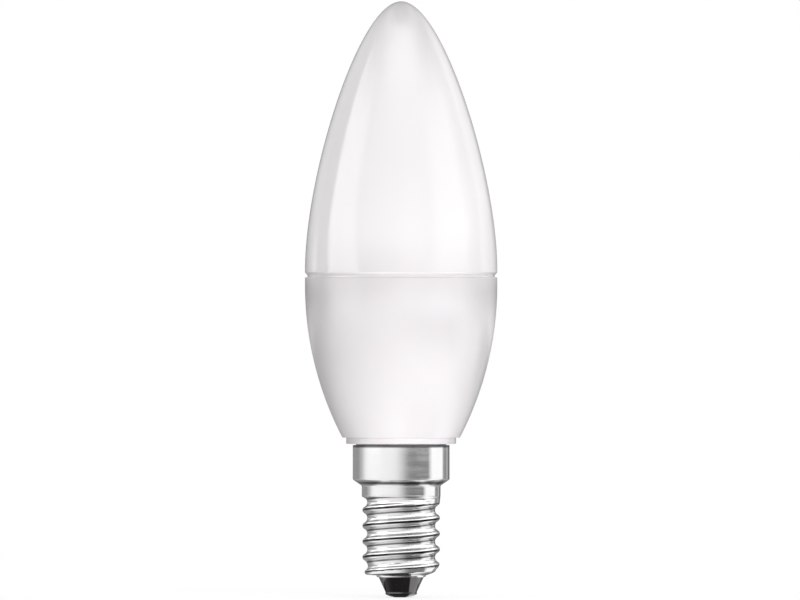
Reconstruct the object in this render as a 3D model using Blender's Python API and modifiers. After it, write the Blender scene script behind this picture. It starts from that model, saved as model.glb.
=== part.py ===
"""LED candle bulb with an E14 screw cap.

An opal cover and a white housing share one candle-shaped outline and meet at a V-shaped seam. Under
the housing's collar sits the screw shell, drawn and rolled from thin sheet, then the black insulator
and the riveted centre contact. Units are metres. +Z runs up the bulb's axis, and the origin is the
middle of the contact's flat face.
"""
import math

import bpy
from mathutils import Vector
from mathutils.geometry import interpolate_bezier

MM = 0.001
FULL_TURN = 2 * math.pi

# Candle outline
LENGTH = 107.0 * MM
BODY_RADIUS = 17.26 * MM
SEAM_HEIGHT = 57.45 * MM
HOUSING_BAND = 1.45 * MM
HOUSING_ARC = 59.0 * MM
COVER_BAND = 0.5 * MM
FLANK_SHARE = 0.35
NOSE_SHARE = 0.438

# Clearances: at the seams that show, and between pieces that sit in each other
SEAM_GAP = 0.2 * MM
FIT = 0.3 * MM

# Seam: the cover's chamfer makes the V, and its spigot sits in the housing's recess
CHAMFER_WIDTH = 0.78 * MM
CHAMFER_HEIGHT = 0.74 * MM
CHAMFER_ROUND = 0.5 * MM
RIM_ROUND = 0.12 * MM
RIM_WALL = 2.2 * MM
SPIGOT_LENGTH = 3.5 * MM

# Housing's lower end: collar, plug for the cap's barrel, and stub inside the thread
COLLAR_BOTTOM = 27.55 * MM
COLLAR_HEIGHT = 1.13 * MM
COLLAR_LIP = 1.18 * MM
EDGE_ROUND = 0.15 * MM
STUB_LENGTH = 6.0 * MM

# Screw shell of an E14 cap: sheet, barrel, shoulder and neck
SHEET = 0.3 * MM
BARREL_RADIUS = 8.69 * MM
SHOULDER_HEIGHT = 21.15 * MM
SHOULDER_DROP = 1.1 * MM
SHOULDER_ROUND = 0.5 * MM
SHOULDER_HOLLOW = 0.9 * MM
NECK_LENGTH = 1.25 * MM
NECK_STEP = 0.12 * MM

# Right-hand thread rolled into the sheet: a root arc that meets a crest arc
THREAD_PITCH = 2.822 * MM
THREAD_RADIUS = 6.95 * MM
THREAD_DEPTH = 0.86 * MM
CREST_ARC = 0.6 * MM
ROOT_HEIGHT = 7.2 * MM
RUN_OUT_DROP = 0.6 * MM
RUN_OUT_LENGTH = 1.1 * MM
RUN_IN_LENGTH = 1.5 * MM

# Shell's rolled-in bottom: its heel leans up to the side where the groove runs in
MOUTH_HEIGHT = 3.63 * MM
MOUTH_RADIUS = 4.35 * MM
HEEL_TAPER = 0.47 * MM
HEEL_RISE = 0.42 * MM
HEEL_ROUND = 0.45 * MM
HEEL_LEAN = 0.45 * MM
LEAD_LENGTH = 2.1 * MM

# Insulator: flange inside the shell, cone through its mouth, and domed foot
FLANGE_OVERLAP = 0.45 * MM
FLANGE_THICKNESS = 1.8 * MM
CONE_BOTTOM = 1.2 * MM
FOOT_RADIUS = 2.83 * MM
FOOT_ROUND = 0.25 * MM
DOME_ARC = 6.0 * MM

# Centre contact: a rivet, clinched on top of the insulator
CONTACT_RADIUS = 1.5 * MM
CONTACT_FLAT = 1.3 * MM
CONTACT_EDGE = 0.1 * MM
CONTACT_PROUD = 0.12 * MM
CONTACT_THICKNESS = 0.75 * MM
SHANK_RADIUS = 0.7 * MM
CLINCH_RADIUS = 1.3 * MM
CLINCH_THICKNESS = 0.5 * MM

# Fineness
BODY_SEGMENTS = 48
SHELL_SEGMENTS = 36
SMALL_SEGMENTS = 32
CURVE_STEPS = 20
ARC_STEPS = 12
ROUND_STEPS = 3
RINGS_PER_PITCH = 8
MERGE = 0.001 * MM
SHARP_ANGLE = math.radians(32)

# Sizes that follow from the ones above
COVER_RIM = SEAM_HEIGHT + SEAM_GAP
RECESS_RADIUS = BODY_RADIUS - RIM_WALL
RECESS_FLOOR = SEAM_HEIGHT - SPIGOT_LENGTH
HOUSING_BOTTOM = COLLAR_BOTTOM + COLLAR_HEIGHT
COLLAR_RADIUS = BARREL_RADIUS + COLLAR_LIP
SHELL_TOP = COLLAR_BOTTOM - SEAM_GAP
PLUG_RADIUS = BARREL_RADIUS - SHEET - FIT
PLUG_BOTTOM = SHOULDER_HEIGHT + SHEET + FIT
STUB_RADIUS = THREAD_RADIUS - THREAD_DEPTH - SHEET - FIT
STUB_BOTTOM = PLUG_BOTTOM - STUB_LENGTH
NECK_RADIUS = THREAD_RADIUS + NECK_STEP
NECK_TOP = SHOULDER_HEIGHT - SHOULDER_DROP
THREAD_TOP = NECK_TOP - NECK_LENGTH
RUN_OUT_TOP = THREAD_TOP - RUN_OUT_DROP
FLANK_ANGLE = 2 * math.atan(2 * THREAD_DEPTH / THREAD_PITCH)
ROOT_ARC = THREAD_PITCH / (2 * math.sin(FLANK_ANGLE)) - CREST_ARC
HEEL_RADIUS = THREAD_RADIUS - HEEL_TAPER
HEEL_HEIGHT = MOUTH_HEIGHT + HEEL_RISE
LEAD_TOP = HEEL_HEIGHT + LEAD_LENGTH
FLANGE_RADIUS = MOUTH_RADIUS + FLANGE_OVERLAP
FLANGE_BOTTOM = HEEL_HEIGHT + SHEET
FLANGE_TOP = FLANGE_BOTTOM + FLANGE_THICKNESS
POCKET_RADIUS = CONTACT_RADIUS + FIT
POCKET_FLOOR = CONTACT_THICKNESS + FIT
DOME_CENTRE = CONTACT_PROUD + math.sqrt(DOME_ARC**2 - POCKET_RADIUS**2)


def arc(centre, first, last, steps):
    """Points of the arc about a centre from the first point to the last, both the same distance away."""
    centre = Vector(centre)
    start = Vector(first) - centre
    end = Vector(last) - centre
    return [tuple(centre + start.slerp(end, step / steps) * start.length) for step in range(steps + 1)]


def rounded(corners):
    """Outline through (radius, height, rounding) corners, each rounding an arc that its runs have room for."""
    points = []
    for index, (radius, height, rounding) in enumerate(corners):
        corner = Vector((radius, height))
        if rounding == 0:
            points.append(tuple(corner))
            continue
        back = Vector(corners[index - 1][:2]) - corner
        ahead = Vector(corners[index + 1][:2]) - corner
        half = back.angle(ahead) / 2
        run = min(rounding / math.tan(half), back.length, ahead.length)
        back.normalize()
        ahead.normalize()
        centre = corner + (back + ahead).normalized() * run / math.cos(half)
        points += arc(centre, corner + back * run, corner + ahead * run, ROUND_STEPS)
    return points


def smooth_step(share):
    """Soft rise from 0 to 1 as the share goes from 0 to 1."""
    share = min(max(share, 0), 1)
    return share * share * (3 - 2 * share)


def dome_height(radius):
    """Height of the insulator's domed foot above the contact's face."""
    return DOME_CENTRE - math.sqrt(DOME_ARC**2 - radius**2)


def sheet_radius(height):
    """Radius of the sheet before rolling: the neck's, then the crests', then tapering to the heel's."""
    neck = smooth_step((height - RUN_OUT_TOP + RUN_OUT_LENGTH) / RUN_OUT_LENGTH)
    lead = min(max((LEAD_TOP - height) / LEAD_LENGTH, 0), 1)
    return THREAD_RADIUS + (NECK_RADIUS - THREAD_RADIUS) * neck + (HEEL_RADIUS - THREAD_RADIUS) * lead


def cover_profile():
    """Candle curve down to a short straight band, chamfered edge, rim and spigot."""
    band_top = COVER_RIM + CHAMFER_HEIGHT + COVER_BAND
    curve_height = LENGTH - band_top
    tip = Vector((0, LENGTH))
    tip_handle = Vector((BODY_RADIUS * NOSE_SHARE, LENGTH))
    flank_handle = Vector((BODY_RADIUS, band_top + curve_height * FLANK_SHARE))
    flank = Vector((BODY_RADIUS, band_top))
    curve = interpolate_bezier(tip, tip_handle, flank_handle, flank, CURVE_STEPS)
    edge = rounded([
        (BODY_RADIUS, band_top, 0),
        (BODY_RADIUS, COVER_RIM + CHAMFER_HEIGHT, CHAMFER_ROUND),
        (BODY_RADIUS - CHAMFER_WIDTH, COVER_RIM, 0),
        (RECESS_RADIUS - FIT, COVER_RIM, 0),
        (RECESS_RADIUS - FIT, RECESS_FLOOR + FIT, 0),
        (0, RECESS_FLOOR + FIT, 0),
    ])
    return [tuple(point) for point in curve[:-1]] + edge


def housing_profile():
    """Recess, rim, belly band and arc down to the collar, then the plug and stub that the cap takes."""
    belly = SEAM_HEIGHT - HOUSING_BAND
    centre = (BODY_RADIUS - HOUSING_ARC, belly)
    drop = belly - HOUSING_BOTTOM
    bottom_radius = centre[0] + math.sqrt(HOUSING_ARC**2 - drop**2)
    rim = rounded([
        (0, RECESS_FLOOR, 0),
        (RECESS_RADIUS, RECESS_FLOOR, 0),
        (RECESS_RADIUS, SEAM_HEIGHT, 0),
        (BODY_RADIUS, SEAM_HEIGHT, RIM_ROUND),
        (BODY_RADIUS, belly, 0),
    ])
    flank = arc(centre, (BODY_RADIUS, belly), (bottom_radius, HOUSING_BOTTOM), ARC_STEPS)
    foot = rounded([
        (*flank[-2], 0),
        (*flank[-1], EDGE_ROUND),
        (COLLAR_RADIUS, HOUSING_BOTTOM, 0),
        (COLLAR_RADIUS, COLLAR_BOTTOM, EDGE_ROUND),
        (PLUG_RADIUS, COLLAR_BOTTOM, 0),
        (PLUG_RADIUS, PLUG_BOTTOM, 0),
        (STUB_RADIUS, PLUG_BOTTOM, 0),
        (STUB_RADIUS, STUB_BOTTOM, 0),
        (0, STUB_BOTTOM, 0),
    ])
    return rim[:-1] + flank[:-2] + foot


def shell_profile():
    """Outer face of the sheet: barrel, shoulder, neck, evenly spaced thread rings, heel and mouth."""
    upper = rounded([
        (BARREL_RADIUS, SHELL_TOP, 0),
        (BARREL_RADIUS, SHOULDER_HEIGHT, SHOULDER_ROUND),
        (NECK_RADIUS, NECK_TOP, SHOULDER_HOLLOW),
        (NECK_RADIUS, THREAD_TOP, 0),
    ])
    heel = rounded([
        (THREAD_RADIUS, LEAD_TOP, 0),
        (HEEL_RADIUS, HEEL_HEIGHT, HEEL_ROUND),
        ((HEEL_RADIUS + MOUTH_RADIUS) / 2, (HEEL_HEIGHT + MOUTH_HEIGHT) / 2, 0),
        (MOUTH_RADIUS, MOUTH_HEIGHT, 0),
    ])[1:]
    thread_height = THREAD_TOP - heel[0][1]
    rings = round(thread_height * RINGS_PER_PITCH / THREAD_PITCH)
    heights = [THREAD_TOP - thread_height * ring / rings for ring in range(1, rings)]
    return upper + [(sheet_radius(height), height) for height in heights] + heel


def insulator_profile():
    """Closed loop round the bore: flange, cone, foot, dome and the contact's pocket."""
    bore = SHANK_RADIUS + FIT
    throat = MOUTH_RADIUS - FIT
    dome_first = (FOOT_RADIUS, dome_height(FOOT_RADIUS))
    dome_last = (POCKET_RADIUS, dome_height(POCKET_RADIUS))
    dome = arc((0, DOME_CENTRE), dome_first, dome_last, ROUND_STEPS)
    side = rounded([
        (bore, FLANGE_TOP, 0),
        (FLANGE_RADIUS, FLANGE_TOP, 0),
        (FLANGE_RADIUS, FLANGE_BOTTOM, 0),
        (throat, FLANGE_BOTTOM, 0),
        (throat, MOUTH_HEIGHT, 0),
        (FOOT_RADIUS, CONE_BOTTOM, 0),
        (*dome[0], FOOT_ROUND),
        (*dome[1], 0),
    ])
    return side + dome[2:] + [(POCKET_RADIUS, POCKET_FLOOR), (bore, POCKET_FLOOR)]


def contact_profile():
    """Clinched end, shank, and head with its flat face at the bottom."""
    seat = FLANGE_TOP + FIT
    return [
        (0, seat + CLINCH_THICKNESS),
        (CLINCH_RADIUS, seat + CLINCH_THICKNESS),
        (CLINCH_RADIUS, seat),
        (SHANK_RADIUS, seat),
        (SHANK_RADIUS, CONTACT_THICKNESS),
        (CONTACT_RADIUS, CONTACT_THICKNESS),
        (CONTACT_RADIUS, CONTACT_EDGE),
        (CONTACT_FLAT, 0),
        (0, 0),
    ]


def groove_depth(offset):
    """How deep the wheel presses the sheet at an axial distance from the middle of the thread's root."""
    if offset < ROOT_ARC * math.sin(FLANK_ANGLE):
        return THREAD_DEPTH - ROOT_ARC + math.sqrt(ROOT_ARC**2 - offset**2)
    from_crest = THREAD_PITCH / 2 - offset
    return CREST_ARC - math.sqrt(CREST_ARC**2 - from_crest**2)


def roll_thread(mesh):
    """Leans the heel and presses the helical groove into the turned shell, running out at both ends."""
    for vertex in mesh.vertices:
        x, y, height = vertex.co
        radius = math.hypot(x, y)
        in_heel = (height - MOUTH_HEIGHT) / HEEL_RISE
        in_lead = (LEAD_TOP - height) / LEAD_LENGTH
        height += HEEL_LEAN * (1 + x / radius) / 2 * max(min(in_heel, in_lead), 0)
        root = ROOT_HEIGHT + THREAD_PITCH * math.atan2(y, x) / FULL_TURN
        root += round((height - root) / THREAD_PITCH) * THREAD_PITCH
        run_out = smooth_step((RUN_OUT_TOP - root) / RUN_OUT_LENGTH)
        run_in = smooth_step((root - MOUTH_HEIGHT) / RUN_IN_LENGTH)
        depth = groove_depth(abs(height - root)) * run_out * run_in * smooth_step(in_heel)
        vertex.co = (x - x / radius * depth, y - y / radius * depth, height)


def srgb(red, green, blue):
    """Linear colour of an 8-bit screen colour."""
    shares = [value / 255 for value in (red, green, blue)]
    return [share / 12.92 if share <= 0.04045 else ((share + 0.055) / 1.055) ** 2.4 for share in shares] + [1]


def finish(name, colour, roughness, metallic=0):
    """Principled material of that colour, roughness and metallic value."""
    material = bpy.data.materials.new(name)
    material.use_nodes = True
    shader = material.node_tree.nodes["Principled BSDF"]
    shader.inputs["Base Color"].default_value = colour
    shader.inputs["Roughness"].default_value = roughness
    shader.inputs["Metallic"].default_value = metallic
    material.diffuse_color = colour
    return material


def turned(name, profile, segments, material, collection, axis, closed=False):
    """Turns an outline, drawn down its outer side, about the bulb's axis into an object of its own."""
    sketch = bpy.data.meshes.new(name)
    count = len(profile)
    edges = [(index, (index + 1) % count) for index in range(count if closed else count - 1)]
    sketch.from_pydata([(radius, 0, height) for radius, height in profile], edges, [])
    piece = bpy.data.objects.new(name, sketch)
    collection.objects.link(piece)
    piece.parent = axis
    screw = piece.modifiers.new("Turn", 'SCREW')
    screw.axis = 'Z'
    screw.angle = FULL_TURN
    screw.steps = segments
    screw.render_steps = segments
    screw.use_merge_vertices = True
    screw.merge_threshold = MERGE
    piece.data = bpy.data.meshes.new_from_object(piece.evaluated_get(bpy.context.evaluated_depsgraph_get()))
    piece.modifiers.remove(screw)
    bpy.data.meshes.remove(sketch)
    piece.data.name = name
    piece.data.shade_smooth()
    piece.data.set_sharp_from_angle(angle=SHARP_ANGLE)
    piece.data.materials.append(material)
    return piece


def rolled_shell(collection, axis):
    """Screw shell: the turned outer face, with the thread rolled in, then given the sheet's thickness."""
    nickel = finish("nickel_plated_brass", srgb(214, 212, 208), 0.12, metallic=1)
    shell = turned("screw_shell", shell_profile(), SHELL_SEGMENTS, nickel, collection, axis)
    roll_thread(shell.data)
    sheet = shell.modifiers.new("Sheet", 'SOLIDIFY')
    sheet.thickness = SHEET
    sheet.offset = -1
    return shell


def build():
    """Models the whole bulb in a collection of its own, on an empty at the contact's face."""
    for old in list(bpy.data.objects):
        bpy.data.objects.remove(old)
    collection = bpy.data.collections.new("led_candle_bulb")
    bpy.context.scene.collection.children.link(collection)
    axis = bpy.data.objects.new("bulb_axis", None)
    axis.empty_display_size = BODY_RADIUS
    collection.objects.link(axis)
    opal = finish("opal_polycarbonate", srgb(248, 244, 245), 0.12)
    white = finish("white_plastic", srgb(244, 241, 242), 0.38)
    black = finish("black_glass", srgb(35, 31, 32), 0.15)
    brass = finish("contact_brass", srgb(196, 190, 178), 0.3, metallic=1)
    turned("opal_cover", cover_profile(), BODY_SEGMENTS, opal, collection, axis)
    turned("housing", housing_profile(), BODY_SEGMENTS, white, collection, axis)
    rolled_shell(collection, axis)
    turned("insulator", insulator_profile(), SMALL_SEGMENTS, black, collection, axis, closed=True)
    turned("centre_contact", contact_profile(), SMALL_SEGMENTS, brass, collection, axis)


build()
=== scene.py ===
"""LED candle bulb with an E14 screw cap, dressed for a studio picture.

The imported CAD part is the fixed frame. Each of its nodes is replaced by a finer piece of the same
outline: an opal cover and a satin housing turned about the bulb's axis, a screw shell whose thread is
rolled by geometry nodes, a black glass insulator and a tinned contact. Units are metres and +Z runs
up the bulb's axis from the contact's flat face.
"""

import logging
import math
from dataclasses import dataclass
from enum import Enum
from typing import ClassVar

import bpy
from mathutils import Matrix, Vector
from mathutils.geometry import interpolate_bezier

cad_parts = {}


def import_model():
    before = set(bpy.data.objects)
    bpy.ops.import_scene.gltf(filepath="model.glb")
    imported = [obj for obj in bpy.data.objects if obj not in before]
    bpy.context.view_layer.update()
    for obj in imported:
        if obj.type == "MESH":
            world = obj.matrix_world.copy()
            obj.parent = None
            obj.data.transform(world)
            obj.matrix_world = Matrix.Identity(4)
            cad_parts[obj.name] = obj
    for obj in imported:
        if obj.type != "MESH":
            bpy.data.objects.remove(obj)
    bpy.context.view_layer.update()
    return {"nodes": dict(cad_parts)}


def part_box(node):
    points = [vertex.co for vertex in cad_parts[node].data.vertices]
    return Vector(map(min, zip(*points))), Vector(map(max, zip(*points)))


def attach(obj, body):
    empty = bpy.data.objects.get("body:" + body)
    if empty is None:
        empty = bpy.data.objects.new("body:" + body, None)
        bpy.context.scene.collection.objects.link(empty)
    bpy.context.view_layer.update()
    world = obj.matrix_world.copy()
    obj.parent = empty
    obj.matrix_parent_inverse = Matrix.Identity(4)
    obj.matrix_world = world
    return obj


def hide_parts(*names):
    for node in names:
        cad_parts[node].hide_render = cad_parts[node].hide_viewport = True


MM = 0.001
UM = 0.000001
FULL_TURN = 2 * math.pi
FRAME_WIDTH, FRAME_HEIGHT = 800, 600
ROOT_BODY = "root"
NOISE_LOW, NOISE_HIGH = 0.3, 0.7
WHITE = (1.0, 1.0, 1.0, 1.0)

Point = tuple[float, float]
Corner = tuple[float, float, float]
Colour = tuple[float, float, float, float]
Range = tuple[float, float]
Panels = tuple[tuple[float, float], ...]
Rule = tuple[tuple[str, ...], ...]

log = logging.getLogger("candle_bulb")


class Surface(Enum):
    """What carries the panels that glossy surfaces reflect."""

    FLOOR = "floor"
    TENT = "tent"


class Loop(Enum):
    """How an outline ends: on the bulb's axis, or back where it started."""

    OPEN = "open"
    CLOSED = "closed"


def linear(hex_colour: str) -> Colour:
    """Turns an sRGB colour into the linear one that shaders take.

    Args:
        hex_colour: The colour as "#RRGGBB".

    Returns:
        Linear red, green and blue, and an alpha of 1.
    """
    shares = [int(hex_colour[place:place + 2], 16) / 255 for place in (1, 3, 5)]
    red, green, blue = (
        share / 12.92 if share <= 0.04045 else ((share + 0.055) / 1.055) ** 2.4 for share in shares)
    return red, green, blue, 1.0


def add_node(tree: bpy.types.NodeTree, kind: str, settings: dict | None = None,
             inputs: dict | None = None) -> bpy.types.Node:
    """Adds a node to a tree, with its settings made and its sockets filled or linked.

    Args:
        tree: The tree that gets the node.
        kind: The node's type name.
        settings: Attribute names and values to set on the node.
        inputs: Input names or indices, each with a value or an output socket to link from.

    Returns:
        The new node.
    """
    node = tree.nodes.new(kind)
    for name, value in (settings or {}).items():
        setattr(node, name, value)
    for key, value in (inputs or {}).items():
        if isinstance(value, bpy.types.NodeSocket):
            tree.links.new(value, node.inputs[key])
        else:
            node.inputs[key].default_value = value
    return node


def arc(centre: Point, first: Point, last: Point, steps: int) -> list[Point]:
    """Lays points along an arc.

    Args:
        centre: The arc's centre.
        first: Its first point.
        last: Its last point, as far from the centre as the first.
        steps: Number of equal steps between them.

    Returns:
        The points from first to last, both included.
    """
    middle = Vector(centre)
    start, end = Vector(first) - middle, Vector(last) - middle
    return [tuple(middle + start.slerp(end, step / steps) * start.length) for step in range(steps + 1)]


def rounded(corners: list[Corner], steps: int = 6) -> list[Point]:
    """Draws an outline through corners that may be rounded.

    Args:
        corners: Radius, height and rounding of each corner, down the outer side.
        steps: Steps in each rounding.

    Returns:
        The outline's points.
    """
    points: list[Point] = []
    for index, (radius, height, rounding) in enumerate(corners):
        corner = Vector((radius, height))
        if rounding == 0:
            points.append((radius, height))
            continue
        back = Vector(corners[index - 1][:2]) - corner
        ahead = Vector(corners[index + 1][:2]) - corner
        half = back.angle(ahead) / 2
        run = min(rounding / math.tan(half), back.length, ahead.length)
        back.normalize()
        ahead.normalize()
        centre = corner + (back + ahead).normalized() * run / math.cos(half)
        points += arc(centre, corner + back * run, corner + ahead * run, steps)
    return points


def divided(points: list[Point], step: float) -> list[Point]:
    """Adds points on an outline's long straight runs.

    Args:
        points: The outline.
        step: Longest run that stays whole.

    Returns:
        The outline with no run longer than the step.
    """
    fine = [points[0]]
    for first, last in zip(points, points[1:]):
        pieces = max(1, math.ceil(math.dist(first, last) / step))
        start, end = Vector(first), Vector(last)
        fine += [tuple(start.lerp(end, piece / pieces)) for piece in range(1, pieces + 1)]
    return fine


def turned(name: str, outline: list[Point], segments: int, loop: Loop = Loop.OPEN) -> bpy.types.Object:
    """Turns an outline about the bulb's axis into an object at the origin.

    Args:
        name: Name of the object and its mesh.
        outline: Radius and height of each point, down the outer side.
        segments: Facets around the axis.
        loop: Whether the outline closes on itself.

    Returns:
        The object, smooth apart from its real edges.
    """
    vertices: list[Corner] = []
    rings: list[list[int]] = []
    for radius, height in outline:
        spokes = segments if radius > UM else 1
        rings.append([len(vertices) + spoke % spokes for spoke in range(segments + 1)])
        rings[-1][-1] = rings[-1][0]
        for spoke in range(spokes):
            angle = FULL_TURN * spoke / segments
            vertices.append((radius * math.cos(angle), radius * math.sin(angle), height))
    pairs = list(zip(rings, rings[1:])) + ([(rings[-1], rings[0])] if loop is Loop.CLOSED else [])
    faces = []
    for upper, lower in pairs:
        for spoke in range(segments):
            face = list(dict.fromkeys((upper[spoke], lower[spoke], lower[spoke + 1], upper[spoke + 1])))
            if len(face) > 2:
                faces.append(face)
    mesh = bpy.data.meshes.new(name)
    mesh.from_pydata(vertices, [], faces)
    mesh.validate()
    piece = bpy.data.objects.new(name, mesh)
    bpy.context.scene.collection.objects.link(piece)
    smooth(piece)
    return piece


def smooth(piece: bpy.types.Object, edge_angle: float = math.radians(32)) -> None:
    """Smooths a mesh and keeps its edges above an angle sharp."""
    piece.data.shade_smooth()
    piece.data.set_sharp_from_angle(angle=edge_angle)


def blank_material(name: str) -> tuple[bpy.types.Material, bpy.types.NodeTree]:
    """Makes a material with an empty tree.

    Args:
        name: The material's name.

    Returns:
        The material and its tree.
    """
    material = bpy.data.materials.new(name)
    material.use_nodes = True
    material.node_tree.nodes.clear()
    return material, material.node_tree


def stand_in(piece: bpy.types.Object, node: str) -> None:
    """Puts a finished piece in the place of a CAD node.

    Args:
        piece: The finished object, at the origin.
        node: Name of the CAD node, which is also the name of its material slot.
    """
    low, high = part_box(node)
    corners = [Vector(corner) for corner in piece.bound_box]
    drift = max(
        max(abs(min(corner[axis] for corner in corners) - low[axis]) for axis in range(3)),
        max(abs(max(corner[axis] for corner in corners) - high[axis]) for axis in range(3)),
    )
    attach(piece, ROOT_BODY)
    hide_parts(node)
    faces = len(piece.data.polygons)
    log.info("%s: %d faces, within %.3f mm of its CAD box", piece.name, faces, drift / MM)


@dataclass(frozen=True)
class Finish:
    """What every finish has: the material's name, two colours that it varies between, its roughness."""

    name: str
    colour: str
    second_colour: str
    roughness: Range

    def start(
        self, settings: dict[str, float | Corner],
    ) -> tuple[bpy.types.Material, bpy.types.NodeTree, bpy.types.Node, bpy.types.NodeSocket]:
        """Opens the material.

        Args:
            settings: Names of the shader's inputs that are the same all over, each with its value.

        Returns:
            The material, its tree, its shader, and the socket that gives object coordinates.
        """
        material = bpy.data.materials.new(self.name)
        material.use_nodes = True
        material.diffuse_color = linear(self.colour)
        tree = material.node_tree
        shader = tree.nodes["Principled BSDF"]
        shader.inputs["Base Color"].default_value = linear(self.colour)
        for name, value in settings.items():
            shader.inputs[name].default_value = value
        return material, tree, shader, add_node(tree, "ShaderNodeTexCoord").outputs["Object"]

    def dress(self, tree: bpy.types.NodeTree, shader: bpy.types.Node, mottling: bpy.types.Node,
              grain: bpy.types.Node, relief: bpy.types.Node) -> bpy.types.Node:
        """Links the patterns that make up the surface.

        Args:
            tree: The material's tree.
            shader: Its shader.
            mottling: How much of the second colour shows.
            grain: The noise that the roughness follows.
            relief: The bump on the surface.

        Returns:
            The node that mixes the two colours.
        """
        body = add_node(tree, "ShaderNodeMix", {"data_type": 'RGBA'}, {
            0: mottling.outputs[0], 6: linear(self.colour), 7: linear(self.second_colour)})
        gloss = add_node(tree, "ShaderNodeMapRange", {}, {
            0: grain.outputs[0], 1: NOISE_LOW, 2: NOISE_HIGH,
            3: self.roughness[0], 4: self.roughness[1]})
        tree.links.new(body.outputs[2], shader.inputs["Base Color"])
        tree.links.new(gloss.outputs[0], shader.inputs["Roughness"])
        tree.links.new(relief.outputs[0], shader.inputs["Normal"])
        return body


@dataclass(frozen=True)
class OpalPolycarbonate(Finish):
    """Milky polycarbonate, injection moulded in a polished mould.

    A little light soaks a few millimetres into it, so its shading is soft. The polished skin gives clear
    reflections that bend a little where the moulding shrank. The skin's grain is finer than a pixel, so
    it is drawn at 0.5 mm and very shallow.
    """

    name: str = "opal_polycarbonate_polished"
    colour: str = "#F7F4F4"
    second_colour: str = "#F1EDEE"
    roughness: Range = (0.06, 0.10)
    refraction: float = 1.585
    gloss_level: float = 1.0
    soaked_share: float = 0.15
    soaked_depth: float = 2.5 * MM
    soaked_colours: Corner = (1.0, 0.95, 0.92)
    cloud_size: float = 14 * MM
    ripple_size: float = 9 * MM
    ripple_height: float = 9 * UM
    skin_size: float = 0.5 * MM
    skin_height: float = 0.25 * UM

    def make(self) -> bpy.types.Material:
        """Builds the material.

        Returns:
            The material.
        """
        material, tree, shader, places = self.start({
            "IOR": self.refraction, "Specular IOR Level": self.gloss_level,
            "Subsurface Weight": self.soaked_share, "Subsurface Radius": self.soaked_colours,
            "Subsurface Scale": self.soaked_depth})
        clouds = add_node(tree, "ShaderNodeTexNoise", {}, {
            "Vector": places, "Scale": 1 / self.cloud_size, "Detail": 2.0, "Roughness": 0.4})
        ripple = add_node(tree, "ShaderNodeTexNoise", {}, {
            "Vector": places, "Scale": 1 / self.ripple_size, "Detail": 1.0})
        skin = add_node(tree, "ShaderNodeTexNoise", {}, {
            "Vector": places, "Scale": 1 / self.skin_size, "Detail": 2.0})
        ripple_bump = add_node(tree, "ShaderNodeBump", {}, {
            "Distance": self.ripple_height, "Height": ripple.outputs[0]})
        skin_bump = add_node(tree, "ShaderNodeBump", {}, {
            "Distance": self.skin_height, "Height": skin.outputs[0], "Normal": ripple_bump.outputs[0]})
        self.dress(tree, shader, clouds, clouds, skin_bump)
        return material


@dataclass(frozen=True)
class SatinPlastic(Finish):
    """White PBT, injection moulded in a finely spark-eroded mould.

    The fine grain scatters the gloss into broad soft bands. Grains are about 0.05 mm on the real
    housing, too fine to show, so they are drawn at 0.6 mm and very shallow.
    """

    name: str = "white_pbt_spark_grained"
    colour: str = "#E6E3E4"
    second_colour: str = "#E1DEE0"
    roughness: Range = (0.23, 0.27)
    refraction: float = 1.55
    gloss_level: float = 1.0
    soaked_share: float = 0.08
    soaked_depth: float = 0.8 * MM
    grain_size: float = 0.6 * MM
    grain_height: float = 0.8 * UM
    flow_size: float = 11 * MM
    flow_swirl: float = 0.6

    def make(self) -> bpy.types.Material:
        """Builds the material.

        Returns:
            The material.
        """
        material, tree, shader, places = self.start({
            "IOR": self.refraction, "Specular IOR Level": self.gloss_level,
            "Subsurface Weight": self.soaked_share, "Subsurface Scale": self.soaked_depth})
        flow = add_node(tree, "ShaderNodeTexNoise", {}, {
            "Vector": places, "Scale": 1 / self.flow_size, "Detail": 3.0, "Distortion": self.flow_swirl})
        grain = add_node(tree, "ShaderNodeTexNoise", {}, {
            "Vector": places, "Scale": 1 / self.grain_size, "Detail": 0.0})
        bump = add_node(tree, "ShaderNodeBump", {}, {
            "Distance": self.grain_height, "Height": grain.outputs[0]})
        self.dress(tree, shader, flow, grain, bump)
        return material


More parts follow.
